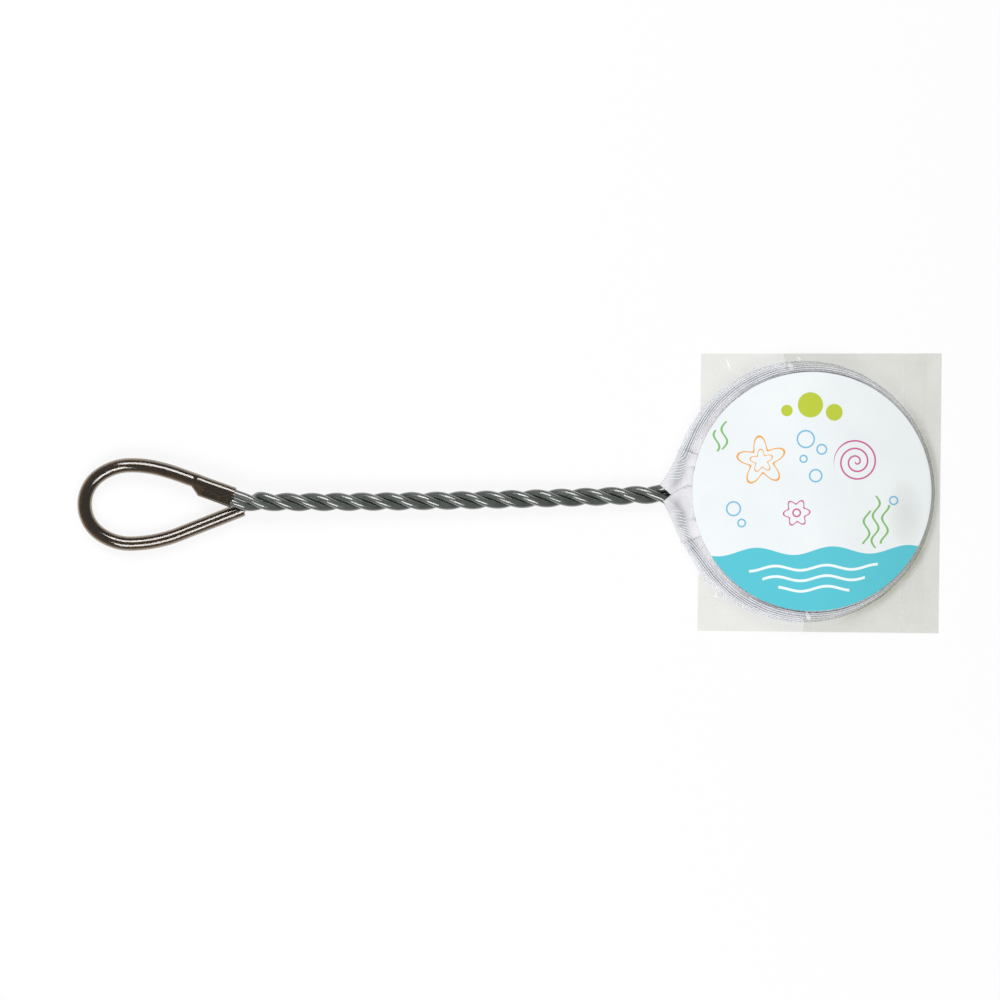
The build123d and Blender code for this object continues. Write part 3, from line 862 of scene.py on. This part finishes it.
def far_from(tree, u, v):
    """The distance from a mark's middle."""
    return calc(tree, "SQRT", calc(tree, "ADD", calc(tree, "MULTIPLY", u, u), calc(tree, "MULTIPLY", v, v)))


def apart(tree, first, second):
    """How far two values are apart."""
    return calc(tree, "ABSOLUTE", calc(tree, "SUBTRACT", first, second))


print("mark edges fade over", 1 / INK_SHARP, "mm, creases over", 1 / GLINT_SHARP, "mm")


# %% Marks
def draw_ring(tree, sizes, u, v):
    return apart(tree, far_from(tree, u, v), sizes["Radius"])


def draw_wave(tree, sizes, u, v):
    crest = calc(tree, "SINE", calc(tree, "DIVIDE", u, sizes["Length"]))
    off = apart(tree, v, calc(tree, "MULTIPLY", crest, sizes["Height"]))
    past = calc(tree, "SUBTRACT", calc(tree, "ABSOLUTE", u), sizes["Half Width"])
    return calc(tree, "MAXIMUM", off, past)


def draw_star(tree, sizes, u, v):
    lobes = calc(tree, "COSINE", calc(tree, "MULTIPLY", calc(tree, "ARCTAN2", v, u), sizes["Lobes"]))
    rim = calc(tree, "MULTIPLY", sizes["Radius"], calc(tree, "MULTIPLY_ADD", lobes, sizes["Depth"], 1.0))
    return apart(tree, far_from(tree, u, v), rim)


def draw_spiral(tree, sizes, u, v):
    far = far_from(tree, u, v)
    turn = calc(tree, "DIVIDE", calc(tree, "ARCTAN2", v, u), 2 * math.pi)
    coil = calc(tree, "FRACT", calc(tree, "SUBTRACT", calc(tree, "DIVIDE", far, sizes["Pitch"]), turn))
    off = calc(tree, "MULTIPLY", apart(tree, coil, 0.5), sizes["Pitch"])
    return calc(tree, "MAXIMUM", off, calc(tree, "SUBTRACT", far, sizes["Radius"]))


def draw_glint(tree, sizes, u, v):
    u, v = calc(tree, "DIVIDE", u, sizes["Half Width"]), calc(tree, "DIVIDE", v, sizes["Line"])
    return calc(tree, "MULTIPLY", far_from(tree, u, v), sizes["Line"])


ring_mark = mark_group("ring_mark", ("Radius",), draw_ring)
wave_mark = mark_group("wave_mark", ("Length", "Height", "Half Width"), draw_wave)
star_mark = mark_group("star_mark", ("Radius", "Lobes", "Depth"), draw_star)
spiral_mark = mark_group("spiral_mark", ("Radius", "Pitch"), draw_spiral)
glint_mark = mark_group("glint_mark", ("Half Width",), draw_glint, sharp=GLINT_SHARP)
print("five kinds of mark ready")

# %% Card paper
CARD_SHIFT = 2.9  # the card's middle lies this far right of the hoop's
CARD_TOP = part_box("insert_card")[1][2] / MM
SEA_EDGE, SWELL_LENGTH, SWELL_HEIGHT = -22.5, 4.6, 1.5


def place_in_mm(tree, centre_x):
    """The place on a piece in millimetres, counted from a centre on the handle's line."""
    spot = node(tree, "ShaderNodeTexCoord").outputs["Object"]
    sizes = {"Vector": spot, "Location": (-centre_x, 0, 0), "Scale": (1 / MM, 1 / MM, 1 / MM)}
    return node(tree, "ShaderNodeMapping", sizes).outputs[0]


printed_card, tree, shader = new_material("printed_card")
flat = place_in_mm(tree, hoop_x + CARD_SHIFT)
pulp = uneven(tree, 60, 1500)
ink = blend_colour(tree, stretch(tree, pulp["Mask"], *SOFT, 0, 1), tint(235, 240, 243), tint(241, 246, 247))
parts = node(tree, "ShaderNodeSeparateXYZ", {0: flat}).outputs
swell = calc(tree, "SINE", calc(tree, "DIVIDE", parts[0], SWELL_LENGTH))
sea_edge = calc(tree, "MULTIPLY_ADD", swell, SWELL_HEIGHT, SEA_EDGE)
inshore = calc(tree, "SUBTRACT", sea_edge, parts[1])
sea = calc(tree, "MULTIPLY_ADD", inshore, INK_SHARP, 0.5, clamp=True)
ink = blend_colour(tree, sea, ink, tint(88, 199, 214))
print("card top at", round(CARD_TOP, 2), "mm")

# %% Card print
FACE_DEPTH = 0.03
MAGENTA, ORANGE, SKY = tint(205, 96, 150), tint(240, 170, 80), tint(120, 190, 225)
LEAF, LIME, PAPER = tint(130, 190, 110), tint(190, 205, 60), tint(240, 250, 252)
star = {"X": -19, "Y": 12, "Turn": 0.4, "Lobes": 5.0}
flower = {"X": -6, "Y": -8, "Turn": 1.1, "Lobes": 6.0}
marks = [
    (spiral_mark, MAGENTA, {"X": 17, "Y": 11, "Radius": 8.2, "Pitch": 2.9, "Line": 0.32}),
    (star_mark, ORANGE, {**star, "Radius": 7.0, "Depth": 0.34, "Line": 0.4}),
    (star_mark, ORANGE, {**star, "Radius": 3.4, "Depth": 0.3, "Line": 0.25}),
    (ring_mark, LIME, {"X": 0, "Y": 33, "Radius": 2.4, "Line": 2.4}),
    (ring_mark, LIME, {"X": 9, "Y": 30, "Radius": 1.6, "Line": 1.6}),
    (ring_mark, LIME, {"X": -9, "Y": 31, "Radius": 1.1, "Line": 1.1}),
    (star_mark, MAGENTA, {**flower, "Radius": 4.2, "Depth": 0.2, "Line": 0.3}),
    (ring_mark, MAGENTA, {"X": -6, "Y": -8, "Radius": 1.4, "Line": 0.3}),
]
bubbles = (
    (-2, 20, 3.2), (4, 16, 1.8), (-3, 12.5, 1.3), (1.5, 6, 2.3),
    (-30, -6, 2.6), (-27, -11.5, 1.4), (31, -4, 1.5),
)
for x, y, radius in bubbles:
    marks.append((ring_mark, SKY, {"X": x, "Y": y, "Radius": radius, "Line": 0.3}))
weed = {"Turn": 1.5, "Length": 1.5, "Height": 1.2, "Line": 0.42}
for x, y, half in ((24, -12, 9.5), (27.5, -13, 7.0), (20.5, -14, 6.0), (-33, 22, 5.0), (-36, 20, 3.6)):
    marks.append((wave_mark, LEAF, {**weed, "X": x, "Y": y, "Half Width": half}))
surf = {"X": 0, "Length": 3.1, "Height": 0.9, "Line": 0.5}
for y, half in ((-29, 24), (-33, 19), (-37, 13)):
    marks.append((wave_mark, PAPER, {**surf, "Y": y, "Half Width": half}))
for group, colour, sizes in marks:
    stamp = node(tree, "ShaderNodeGroup", {"Place": flat, **sizes}, node_tree=group)
    ink = blend_colour(tree, stamp.outputs[0], ink, colour)
face = calc(tree, "GREATER_THAN", parts[2], CARD_TOP - FACE_DEPTH)
fill(tree, shader, {
    "Base Color": blend_colour(tree, face, tint(232, 232, 228), ink),
    "Roughness": stretch(tree, pulp["Mask"], *SOFT, 0.5, 0.62),
    "Normal": bumps(tree, pulp["Height"], 0.05),
    "Specular IOR Level": 0.3,
})
finish_node("insert_card", printed_card)
print("card print:", len(marks), "marks")

# %% [markdown]
# ## Clear bag
# The bag is thin clear film: a back, folded over at the right end, and a shorter front drawn over the hoop.
# A taut film over an obstacle finds the smoothest shape that stays above it, so the front starts as a flat
# grid and is relaxed: each point moves to the mean of its neighbours, and is pushed back above net and card.

# %% Bag outline
BAG_CORNERS = ((-41.2, -52.5), (-37.9, 53.6), (54.3, 52.0), (51.1, -55.2))  # clockwise from the lower left
FLAP_SHARE = 14.0 / 91.8
BACK_LEVEL, FLAP_LEVEL, SEAL_GAP = 0.25, 0.06, 0.1


def bag_place(along, across):
    """From shares of the bag's length and width to a place round the hoop."""
    (x1, y1), (x2, y2), (x3, y3), (x4, y4) = BAG_CORNERS
    left = (x1 + (x2 - x1) * across, y1 + (y2 - y1) * across)
    right = (x4 + (x3 - x4) * across, y4 + (y3 - y4) * across)
    return left[0] + (right[0] - left[0]) * along, left[1] + (right[1] - left[1]) * along


print("bag", round(math.dist(*BAG_CORNERS[:2]), 1), "by", round(math.dist(*BAG_CORNERS[1:3]), 1), "mm")

# %% Front film
FRONT_ROWS, FRONT_WIDE, FRONT_STEP = 76, 136, 0.75
MOUTH_LOWER, MOUTH_UPPER = 0.438, 0.342  # where the front starts, in shares of the bag's length
HEM_HALF, HEM_GAP, CARD_REACH, CARD_GAP = 2.4, 0.15, 46.2, 0.2
FILM_START, RELAX_STEPS = 3.0, 1500
mouth = np.linspace(MOUTH_LOWER, MOUTH_UPPER, FRONT_WIDE)
front_places, ground = [], np.zeros((FRONT_ROWS, FRONT_WIDE))
for i in range(FRONT_ROWS):
    for j in range(FRONT_WIDE):
        along = mouth[j] + (1 - mouth[j]) * i / (FRONT_ROWS - 1)
        x, y = bag_place(along, j / (FRONT_WIDE - 1))
        front_places.append((x, y))
        ring = math.hypot(x, y) - HOOP_RADIUS
        if abs(ring) < HEM_HALF:
            ground[i, j] = HOOP_HEIGHT + math.sqrt(HEM_HALF**2 - ring**2) + HEM_GAP
        if math.hypot(x - CARD_SHIFT, y) < CARD_REACH:
            ground[i, j] = CARD_TOP + CARD_GAP
front = np.maximum(ground, FILM_START)
for _ in range(RELAX_STEPS):
    front = np.maximum(neighbour_mean(front), ground)
    front[-1, :] = front[:, 0] = front[:, -1] = BACK_LEVEL + SEAL_GAP
print("front film stands", round(front.max(), 1), "mm high at most")

# %% [markdown]
# Film is never quite clear. One even haze would do from afar, but film is cloudier where it bends and clearer
# where it clings, so haze is kept at the points: a plain part, a clearer part on the card, a painted glare on
# the card's right side, and a painted shade beside the hoop on the right and lower right. Fine ridges lift it
# where it is free.

# %% Front haze
FRONT_RIDGE, RIDGE_SHARP = 0.2, 8
# the glare haze is a painted glare, and the rim haze a painted shade beside the hoop
PLAIN_HAZE, CARD_HAZE, GLARE_HAZE, RIM_SHADE_HAZE = 0.138, 0.05, 0.08, 0.36
CARD_FADE_FROM, RIM_OUTSIDE, RIM_INSIDE, STEEP_HAZE = 48.5, 1.9, 1.2, 0.2


def ridge_at(x, y, seed, size):
    """Thin lines of unevenness, as creases in film."""
    return (1 - abs(noise.noise(Vector((x / size, y / size, seed))))) ** RIDGE_SHARP


front_haze_and_painted_light = np.zeros_like(front)
steep = np.hypot(*np.gradient(front, FRONT_STEP))
for index, (x, y) in enumerate(front_places):
    i, j = divmod(index, FRONT_WIDE)
    free = unit((front[i, j] - ground[i, j]) / 2) * min(1.0, (front[i, j] - BACK_LEVEL) / 1.5)
    front[i, j] += FRONT_RIDGE * free * ridge_at(x, y, 2.2, 24)
    over_card = unit((CARD_FADE_FROM - math.hypot(x - CARD_SHIFT, y)) / 2)
    inward = unit((i - 4) / 50)
    clear = PLAIN_HAZE * (1 - over_card) + CARD_HAZE * inward * over_card
    # painted glare of the film over the card's right side
    painted_glare = GLARE_HAZE * max(0.0, 1 - math.hypot((x - 38.5) / 7, (y + 9) / 13)) ** 0.7
    beside = math.hypot(x, y) - HEM_REACH
    fade = math.exp(-((beside / (RIM_OUTSIDE if beside > 0 else RIM_INSIDE)) ** 2))
    # painted shade beside the hoop on the right and lower right
    rim = RIM_SHADE_HAZE * fade * unit((x - 25 - 0.3 * y) / 18)
    front_haze_and_painted_light[i, j] = 1 - (1 - clear - painted_glare - rim) ** (1 + STEEP_HAZE * steep[i, j])
print("haze of the front up to", round(front_haze_and_painted_light.max(), 2))

# %% Back film
BACK_WIDE, FLAP_ROWS, BACK_ROWS = 130, 20, 118
BACK_RIDGE, BACK_HAZE = 0.06, 0.19
shares = np.concatenate([np.linspace(1 - FLAP_SHARE, 1, FLAP_ROWS), np.linspace(1, 0, BACK_ROWS)])
back_places = [bag_place(a, j / (BACK_WIDE - 1)) for a in shares for j in range(BACK_WIDE)]
back = np.full((FLAP_ROWS + BACK_ROWS, BACK_WIDE), FLAP_LEVEL)
back_veil = np.zeros_like(back)
back_veil[FLAP_ROWS:] = BACK_HAZE
for index, (x, y) in enumerate(back_places):
    i, j = divmod(index, BACK_WIDE)
    if i >= FLAP_ROWS:
        back[i, j] = BACK_LEVEL + BACK_RIDGE * ridge_at(x + 80, y, 5.1, 22)
print("back film of", back.size, "points, haze", BACK_HAZE)

# %% [markdown]
# The film's glints are painted highlights: soft narrow white spots where its edges and folds catch the light.
# Each is drawn by the glint mark, on the front or on the back, from its two ends, a half width and a
# strength.

# %% Painted glints
front_glints = [
    (-5.3, 48.7, -3.4, 47.5, 0.8, 0.55), (-4.8, 46.4, -3.0, 47.2, 0.4, 0.4),
    (-1.0, 51.6, -0.4, 50.2, 0.3, 0.5), (0.1, -46.5, 1.3, -48.8, 0.8, 0.55),
    (0.0, -45.4, 0.2, -46.6, 0.4, 0.35),
]
back_glints = [
    (*bag_place(1 - FLAP_SHARE, 0.82), *bag_place(1 - FLAP_SHARE, 0.96), 0.2, 0.2),
    (*bag_place(1 - FLAP_SHARE, 0.04), *bag_place(1 - FLAP_SHARE, 0.14), 0.2, 0.2),
    (-40.6, -29.9, -33.9, -37.6, 0.3, 0.7), (-34.2, -39.2, -30.6, -40.3, 0.45, 0.75),
    (-33.6, -38.2, -31.2, -40.3, 0.55, 0.75), (-27.9, 50.3, -27.0, 47.9, 0.22, 0.6),
    (-38.2, 33.9, -37.2, 34.7, 0.4, 0.7), (-18.6, 47.3, -17.0, 48.0, 0.4, 0.7),
]
print("creases:", len(front_glints), "in front and", len(back_glints), "behind")


# %% Film finish
def film_finish(name, creases):
    """Clear film with its haze, which on the front holds a painted glare and a painted shade, and its painted
    glints.
    """
    made, tree, shader = new_material(name)
    cloud = uneven(tree, 90, 900)
    place = place_in_mm(tree, hoop_x)
    glint = 0.0
    for x1, y1, x2, y2, half_line, strength in creases:
        sizes = {"X": (x1 + x2) / 2, "Y": (y1 + y2) / 2, "Turn": math.atan2(y2 - y1, x2 - x1)}
        sizes.update({"Half Width": math.dist((x1, y1), (x2, y2)) / 2, "Line": half_line})
        spot = node(tree, "ShaderNodeGroup", {"Place": place, **sizes}, node_tree=glint_mark)
        glint = calc(tree, "MAXIMUM", glint, calc(tree, "MULTIPLY", spot.outputs[0], strength))
    veil = node(tree, "ShaderNodeAttribute", attribute_name="veil").outputs["Fac"]
    haze = calc(tree, "MULTIPLY", veil, stretch(tree, cloud["Mask"], *SOFT, 0.85, 1.15))
    # painted glints: the film turns white and opaque there, as a painted highlight
    glint_white = stretch(tree, glint, 0.0, 0.2, 0, 1)
    fill(tree, shader, {
        "Base Color": blend_colour(tree, glint_white, tint(132, 135, 88), tint(253, 253, 253)),
        "Alpha": calc(tree, "ADD", haze, glint, clamp=True),
        "Roughness": 0.18,
        "IOR": 1.5,
        "Normal": bumps(tree, cloud["Height"], 0.1, depth=0.0002),
    })
    return made


front_film, back_film = film_finish("front_film", front_glints), film_finish("back_film", back_glints)
print(front_film.name, "and", back_film.name, "ready")

# %% Film pieces
front_grid = np.dstack([np.array(front_places).reshape(*front.shape, 2), front])
back_grid = np.dstack([np.array(back_places).reshape(*back.shape, 2), back])
bag_front = grid_piece("polybag_front", [front_grid], front_film, veil=[front_haze_and_painted_light])
bag_back = grid_piece("polybag_back", [back_grid], back_film, veil=[back_veil])
print("film:", len(bag_front.data.polygons), "and", len(bag_back.data.polygons), "faces")
for film in (bag_front, bag_back):
    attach(film, "bag")
    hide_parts("polybag")

# %% [markdown]
# A strip of clear adhesive holds the folded flap. It is a solid of the frame, and it is all but invisible, so
# its finish is nearly clear and it casts no shadow.

# %% Adhesive strip
tacky, tree, shader = new_material("adhesive")
cloud = uneven(tree, 200, 2000)
fill(tree, shader, {
    "Base Color": tint(196, 196, 190),
    "Alpha": stretch(tree, cloud["Mask"], *SOFT, 0.003, 0.009),
    "Roughness": 0.3,
})
finish_node("adhesive_strip", tacky).visible_shadow = False
print("adhesive strip finished")
